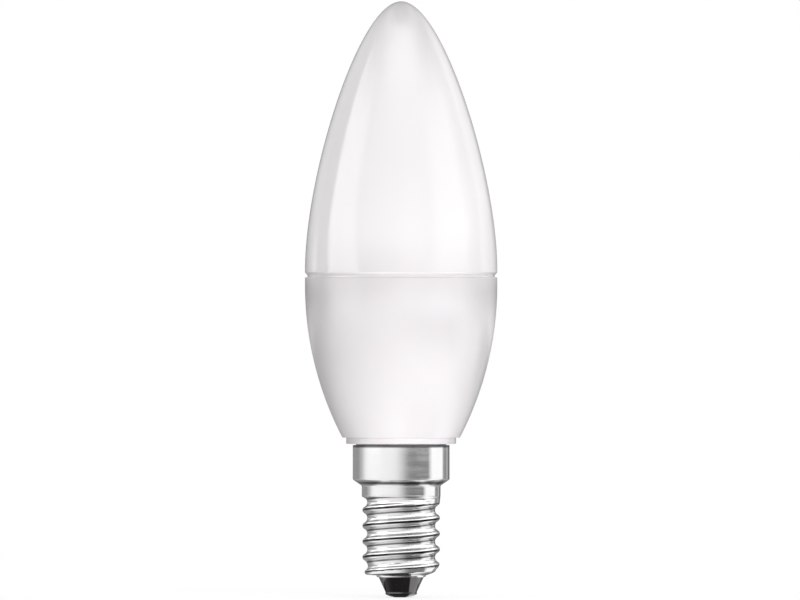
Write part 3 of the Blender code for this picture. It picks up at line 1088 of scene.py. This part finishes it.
@dataclass
class Studio:
    """White sweep, soft lamps, and a tent whose pale and dark panels the glossy surfaces reflect."""

    scale: float = 5.57
    centre_column: float = 401.15
    contact_row: float = 597.3
    lens: float = 1000.0
    sensor: float = 36.0
    ambient: float = 0.3
    floor_radius: float = 14.0
    floor_middle: float = 0.2
    floor_wash: Range = (0.2, 0.6)
    floor_glow: float = 0.74
    floor_fill: float = 0.4
    floor_colour: str = "#A8A7A8"
    tent_radius: float = 0.15
    tent_height: float = 0.8
    tent_foot: float = 0.1 * MM
    facets: int = 96
    panel_strength: float = 1.0
    lamp_height: float = 54 * MM
    far_lamps: tuple[Lamp, ...] = (
        Lamp("key_lamp", 10, 10, 0.5, 4.95),
        Lamp("top_lamp", 0, 80, 0.6, 1.1),
        Lamp("back_lamp", 180, 20, 0.6, 5.0),
    )
    table_place: Corner = (17 * MM, -50 * MM, 1 * MM)
    table_size: float = 60 * MM
    table_power: float = 0.0178
    foot_panels: Panels = (
        (-180, 0.05), (-112, 0.02), (-96, 0.2), (-80, 0.26), (-62, 0.12), (-45, 0.06), (40, 0.06),
        (44, 1.35), (60, 1.35), (100, 1.2), (112, 0.2), (180, 0.05),
    )
    cap_panels: Panels = (
        (-180, 0.3), (-137, 0.38), (-121, 0.37), (-104, 0.7), (-92.5, 1.18), (-78, 1.28),
        (-45, 1.25), (-25, 1.19), (-14, 1.13), (-6, 0.98), (3, 0.74), (12, 0.46), (20, 0.3),
        (31, 0.26), (66, 0.28), (71, 0.85), (78, 1.38), (113, 1.4), (118, 0.4), (133, 0.3),
        (136, 0.6), (143, 0.6), (146, 0.2), (180, 0.2),
    )
    floor_panels: Panels = (
        (-180, 0.1), (-162, 0.3), (-150, 0.4), (-126, 0.6), (-114, 0.8), (-102, 1.0), (-84, 1.3),
        (-72, 1.2), (-30, 1.1), (12, 1.1), (36, 1.1), (42, 1.2), (54, 1.35), (66, 1.4), (78, 1.3),
        (90, 1.1), (102, 0.8), (126, 0.6), (144, 0.5), (156, 0.4), (180, 0.1),
    )
    housing_panels: Panels = (
        (-180, 0.1), (-158, 0.5), (-150, 0.85), (-144, 0.95), (-126, 0.9), (-114, 0.75),
        (-103, 0.4), (-97, 0.5), (-91, 1.2), (-86, 2.2), (-78, 2.6), (-66, 2.8), (-54, 2.6),
        (-48, 1.9), (-43, 1.4), (-30, 1.7), (6, 2.0), (30, 2.6), (36, 2.9), (42, 3.3), (54, 3.4),
        (66, 2.9), (78, 2.3), (84, 1.8), (90, 1.3), (97, 1.0), (114, 1.2), (132, 1.5), (144, 1.3),
        (162, 0.4), (180, 0.1),
    )
    horizon_panels: Panels = (
        (-180, 0.1), (-156, 0.4), (-144, 0.8), (-138, 1.0), (-132, 1.2), (-126, 1.75), (-120, 1.85),
        (-114, 1.3), (-95, 1.15), (-91, 2.4), (-84, 2.3), (-78, 2.1), (-60, 1.75), (-52, 1.5),
        (-48, 0.6), (-36, 0.45), (0, 0.4), (18, 0.45), (36, 0.7), (42, 1.15), (60, 1.35), (78, 1.6),
        (90, 1.3), (102, 1.25), (108, 1.7), (114, 1.85), (120, 1.55), (132, 1.3), (144, 0.9),
        (150, 0.6), (180, 0.1),
    )
    cover_panels: Panels = (
        (-180, 0.1), (-160, 0.4), (-150, 0.9), (-138, 1.4), (-126, 1.5), (-108, 1.4), (-100, 1.3),
        (-94, 3.0), (-84, 2.9), (-66, 2.6), (-58, 2.2), (-53, 1.7), (-36, 1.55), (-18, 1.42),
        (0, 1.36), (24, 1.4), (37, 1.45), (42, 1.8), (54, 2.1), (72, 2.35), (80, 2.5), (90, 2.2),
        (98, 2.0), (108, 1.95), (118, 2.3), (126, 2.0), (134, 1.75), (144, 1.4), (150, 0.8),
        (156, 0.5), (180, 0.1),
    )
    nose_panels: Panels = (
        (-180, 0.1), (-150, 0.4), (-120, 0.9), (-98, 1.2), (-84, 1.2), (-60, 1.4), (-30, 1.9),
        (0, 2.0), (30, 1.9), (60, 1.2), (84, 0.8), (108, 0.7), (126, 0.7), (150, 0.4), (180, 0.1),
    )

    def tiers(self, surface: Surface) -> tuple[Tier, ...]:
        """Lists the tiers of panels on the floor, outwards, or on the tent, upwards.

        Args:
            surface: The floor or the tent.

        Returns:
            The tiers, the first of which starts at the middle of the floor or at the foot of the tent.
        """
        if surface is Surface.FLOOR:
            return (
                Tier(self.foot_panels, 0, 0),
                Tier(self.cap_panels, 7.8 * MM, 8.8 * MM),
                Tier(self.floor_panels, 45 * MM, 75 * MM),
            )
        return (
            Tier(self.foot_panels, 0, 0),
            Tier(self.cap_panels, 1.5 * MM, 3.5 * MM),
            Tier(self.housing_panels, 30.5 * MM, 33 * MM),
            Tier(self.housing_panels, 37 * MM, 57 * MM, 0.08),
            Tier(self.horizon_panels, 56.8 * MM, 57.8 * MM),
            Tier(self.cover_panels, 59 * MM, 98 * MM),
            Tier(self.nose_panels, 140 * MM, 240 * MM),
            Tier(self.nose_panels, 280 * MM, 600 * MM, 0.12),
        )

    def camera(self) -> None:
        """Stands a long lens level with the bulb, so that the frame holds it as the photograph does."""
        lens = bpy.data.cameras.new("camera")
        lens.lens = self.lens
        lens.sensor_width = self.sensor
        width = FRAME_WIDTH / self.scale * MM
        aside = (FRAME_WIDTH / 2 - self.centre_column) / self.scale * MM
        height = (self.contact_row - FRAME_HEIGHT / 2) / self.scale * MM
        camera = bpy.data.objects.new("camera", lens)
        camera.location = (aside, -width * self.lens / self.sensor, height)
        camera.rotation_euler = (math.radians(90), 0, 0)
        bpy.context.scene.collection.objects.link(camera)
        bpy.context.scene.camera = camera

    def world(self) -> None:
        """Fills the air with even light, and shows white to the camera, in gloss and through clear things."""
        world = bpy.data.worlds.new("studio_air")
        world.use_nodes = True
        bpy.context.scene.world = world
        tree = world.node_tree
        tree.nodes.clear()
        path = add_node(tree, "ShaderNodeLightPath")
        seen = add_node(tree, "ShaderNodeMath", {"operation": 'MAXIMUM'}, {
            0: path.outputs["Is Camera Ray"], 1: path.outputs["Is Glossy Ray"]})
        shown = add_node(tree, "ShaderNodeMath", {"operation": 'MAXIMUM'}, {
            0: seen.outputs[0], 1: path.outputs["Is Transmission Ray"]})
        strength = add_node(tree, "ShaderNodeMapRange", {}, {
            0: shown.outputs[0], 3: self.ambient, 4: 1.0})
        background = add_node(tree, "ShaderNodeBackground", {}, {
            "Color": WHITE, "Strength": strength.outputs[0]})
        add_node(tree, "ShaderNodeOutputWorld", {}, {"Surface": background.outputs[0]})

    def floor(self) -> None:
        """Lays a white floor that keeps a faint shadow and lets the camera look up from below.

        Glossy surfaces see the panels' glow on it, so that the panels run on below the bulb.
        """
        floor = turned("floor", [(0, 0), (self.floor_middle, 0), (self.floor_radius, 0)], self.facets)
        material, tree = blank_material("sweep_paper")
        path = add_node(tree, "ShaderNodeLightPath")
        shown = add_node(tree, "ShaderNodeMath", {"operation": 'MAXIMUM'}, {
            0: path.outputs["Is Camera Ray"], 1: path.outputs["Is Transmission Ray"]})
        strength = add_node(tree, "ShaderNodeMapRange", {}, {
            0: shown.outputs[0], 3: self.floor_fill, 4: self.floor_glow})
        reach = add_node(tree, "ShaderNodeVectorMath", {"operation": 'LENGTH'}, {
            0: add_node(tree, "ShaderNodeTexCoord").outputs["Object"]})
        far = add_node(tree, "ShaderNodeMapRange", {"interpolation_type": 'SMOOTHSTEP'}, {
            0: reach.outputs["Value"], 1: self.floor_wash[0], 2: self.floor_wash[1]})
        washed = add_node(tree, "ShaderNodeMath", {"operation": 'MULTIPLY'}, {
            0: far.outputs[0], 1: shown.outputs[0]})
        paper = add_node(tree, "ShaderNodeBsdfDiffuse", {}, {"Color": linear(self.floor_colour)})
        glow = add_node(tree, "ShaderNodeEmission", {}, {
            "Color": WHITE, "Strength": strength.outputs[0]})
        near = add_node(tree, "ShaderNodeAddShader", {}, {0: paper.outputs[0], 1: glow.outputs[0]})
        white = add_node(tree, "ShaderNodeEmission", {}, {"Color": WHITE, "Strength": 1.0})
        lit = add_node(tree, "ShaderNodeMixShader", {}, {
            0: washed.outputs[0], 1: near.outputs[0], 2: white.outputs[0]})
        panels = add_node(tree, "ShaderNodeEmission", {}, {
            "Color": self.panel_glow(tree, Surface.FLOOR), "Strength": self.panel_strength})
        seen = add_node(tree, "ShaderNodeMixShader", {}, {
            0: path.outputs["Is Glossy Ray"], 1: lit.outputs[0], 2: panels.outputs[0]})
        clear = add_node(tree, "ShaderNodeBsdfTransparent")
        side = add_node(tree, "ShaderNodeNewGeometry")
        whole = add_node(tree, "ShaderNodeMixShader", {}, {
            0: side.outputs["Backfacing"], 1: seen.outputs[0], 2: clear.outputs[0]})
        add_node(tree, "ShaderNodeOutputMaterial", {}, {"Surface": whole.outputs[0]})
        floor.data.materials.append(material)

    def panel_glow(self, tree: bpy.types.NodeTree, surface: Surface) -> bpy.types.NodeSocket:
        """Works out how bright the panels are at a place, from its direction and its tier.

        Args:
            tree: The material of the tent or the floor.
            surface: Which of the two it is.

        Returns:
            The socket with the brightness as a grey colour.
        """
        places = add_node(tree, "ShaderNodeTexCoord").outputs["Object"]
        place = add_node(tree, "ShaderNodeSeparateXYZ", {}, {0: places})
        ahead = add_node(tree, "ShaderNodeMath", {"operation": 'MULTIPLY'}, {
            0: place.outputs[1], 1: -1.0})
        angle = add_node(tree, "ShaderNodeMath", {"operation": 'ARCTAN2'}, {
            0: place.outputs[0], 1: ahead.outputs[0]})
        share = add_node(tree, "ShaderNodeMapRange", {}, {0: angle.outputs[0], 1: -math.pi, 2: math.pi})
        reach = add_node(tree, "ShaderNodeVectorMath", {"operation": 'LENGTH'}, {0: places})
        along = reach.outputs["Value"] if surface is Surface.FLOOR else place.outputs[2]
        glow: bpy.types.NodeSocket | Colour = (0.0, 0.0, 0.0, 1.0)
        for tier in self.tiers(surface):
            ramp = add_node(tree, "ShaderNodeValToRGB", {}, {0: share.outputs[0]})
            stops = ramp.color_ramp.elements
            while len(stops) < len(tier.panels):
                stops.new(1.0)
            for stop, (degrees, brightness) in zip(stops, tier.panels):
                grey = brightness * tier.level
                stop.position = (degrees + 180) / 360
                stop.color = (grey, grey, grey, 1.0)
            taken = add_node(tree, "ShaderNodeMapRange", {"interpolation_type": 'SMOOTHSTEP'}, {
                0: along, 1: tier.first, 2: tier.last}) if tier.last else None
            glow = add_node(tree, "ShaderNodeMix", {"data_type": 'RGBA'}, {
                0: taken.outputs[0] if taken else 1.0, 6: glow, 7: ramp.outputs[0]}).outputs[2]
        return glow

    def tent(self) -> None:
        """Hangs the tent of pale and dark panels, which only glossy rays see."""
        outline = [
            (0, self.tent_height),
            (self.tent_radius, self.tent_height),
            (self.tent_radius, self.tent_foot),
        ]
        tent = turned("tent", outline, self.facets)
        material, tree = blank_material("tent_panels")
        panel = add_node(tree, "ShaderNodeEmission", {}, {
            "Color": self.panel_glow(tree, Surface.TENT), "Strength": self.panel_strength})
        add_node(tree, "ShaderNodeOutputMaterial", {}, {"Surface": panel.outputs[0]})
        tent.data.materials.append(material)
        for ray in ("camera", "diffuse", "shadow", "transmission", "volume_scatter"):
            setattr(tent, "visible_" + ray, False)

    def lamp(self, name: str, place: Vector, aim: Vector, size: float, power: float) -> None:
        """Hangs or lays a soft square lamp that only matt surfaces see.

        Args:
            name: The lamp's name.
            place: Where it is.
            aim: The point that it faces.
            size: Length of its side.
            power: Its power in watts.
        """
        light = bpy.data.lights.new(name, 'AREA')
        light.shape = 'SQUARE'
        light.size = size
        light.energy = power
        lamp = bpy.data.objects.new(name, light)
        lamp.location = place
        lamp.rotation_euler = (place - aim).to_track_quat('Z', 'Y').to_euler()
        lamp.visible_camera = False
        lamp.visible_glossy = False
        bpy.context.scene.collection.objects.link(lamp)

    def lamps(self) -> None:
        """Sets out the lamps: in front, above and behind, and a small one that lies on the floor."""
        middle = Vector((0, 0, self.lamp_height))
        for lamp in self.far_lamps:
            around, up = math.radians(lamp.azimuth), math.radians(lamp.elevation)
            towards = Vector(
                (math.sin(around) * math.cos(up), -math.cos(around) * math.cos(up), math.sin(up)))
            self.lamp(lamp.name, middle + towards, middle, lamp.size, lamp.power)
        table = Vector(self.table_place)
        self.lamp("table_lamp", table, table + Vector((0, 0, 1)), self.table_size, self.table_power)

    def build(self) -> None:
        """Sets up the camera, the air, the floor, the tent, the lamps and the plain view transform."""
        self.camera()
        self.world()
        self.floor()
        self.tent()
        self.lamps()
        bpy.context.scene.view_settings.view_transform = 'Standard'


def main() -> None:
    logging.basicConfig(level=logging.INFO, format="%(name)s: %(message)s")
    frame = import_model()
    log.info("frame: %s", ", ".join(sorted(frame["nodes"])))
    Studio().build()
    for part in (CandleBody(), ScrewShell(), CapEnd()):
        part.build()


if __name__ == "__main__":
    main()
